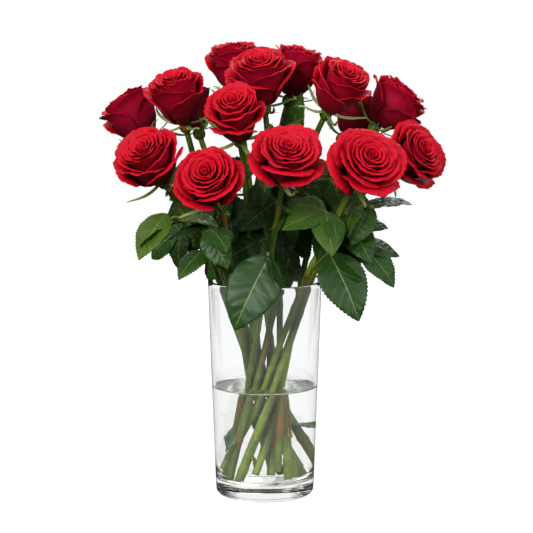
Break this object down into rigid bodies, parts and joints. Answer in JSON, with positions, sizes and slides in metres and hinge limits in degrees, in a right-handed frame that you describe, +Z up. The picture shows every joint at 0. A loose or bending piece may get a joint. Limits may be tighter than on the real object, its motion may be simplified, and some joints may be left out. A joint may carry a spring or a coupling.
{
  "type": "roses in a vase",
  "caption": "Hand-tied style bunch of long-stemmed red roses with leaves, standing in a tapered clear glass vase half full of water.",
  "frame": {"origin": "centre of the underside of the vase's foot, where it rests on the table", "axes": "+Z up along the vase's axis; -Y towards the viewer the bunch faces, +X to that viewer's right"},
  "size_m": [0.3029, 0.1928, 0.3997],
  "materials": {
    "glass": "polished",
    "water": "polished",
    "stem": "satin",
    "calyx": "satin",
    "petal": "matte",
    "leaf": "satin"
  },
  "bodies": {
    "root": {"vase": "glass", "water": "water", "stem_01": "stem", "calyx_01": "calyx", "bloom_01": "petal", "stem_02": "stem", "calyx_02": "calyx", "bloom_02": "petal", "stem_03": "stem", "calyx_03": "calyx", "bloom_03": "petal", "stem_04": "stem", "calyx_04": "calyx", "bloom_04": "petal", "stem_05": "stem", "calyx_05": "calyx", "bloom_05": "petal", "stem_06": "stem", "calyx_06": "calyx", "bloom_06": "petal", "stem_07": "stem", "calyx_07": "calyx", "bloom_07": "petal", "stem_08": "stem", "calyx_08": "calyx", "bloom_08": "petal", "stem_09": "stem", "calyx_09": "calyx", "bloom_09": "petal", "stem_10": "stem", "calyx_10": "calyx", "bloom_10": "petal", "stem_11": "stem", "calyx_11": "calyx", "bloom_11": "petal", "stem_12": "stem", "calyx_12": "calyx", "bloom_12": "petal", "stem_13": "stem", "calyx_13": "calyx", "bloom_13": "petal", "stem_14": "stem", "calyx_14": "calyx", "bloom_14": "petal", "stem_15": "stem", "calyx_15": "calyx", "bloom_15": "petal", "leaf_01": "leaf", "leaf_02": "leaf", "leaf_03": "leaf", "leaf_04": "leaf", "leaf_05": "leaf", "leaf_06": "leaf", "leaf_07": "leaf", "leaf_08": "leaf", "leaf_09": "leaf", "leaf_10": "leaf", "leaf_11": "leaf", "leaf_12": "leaf", "leaf_13": "leaf"}
  },
  "joints": []
}
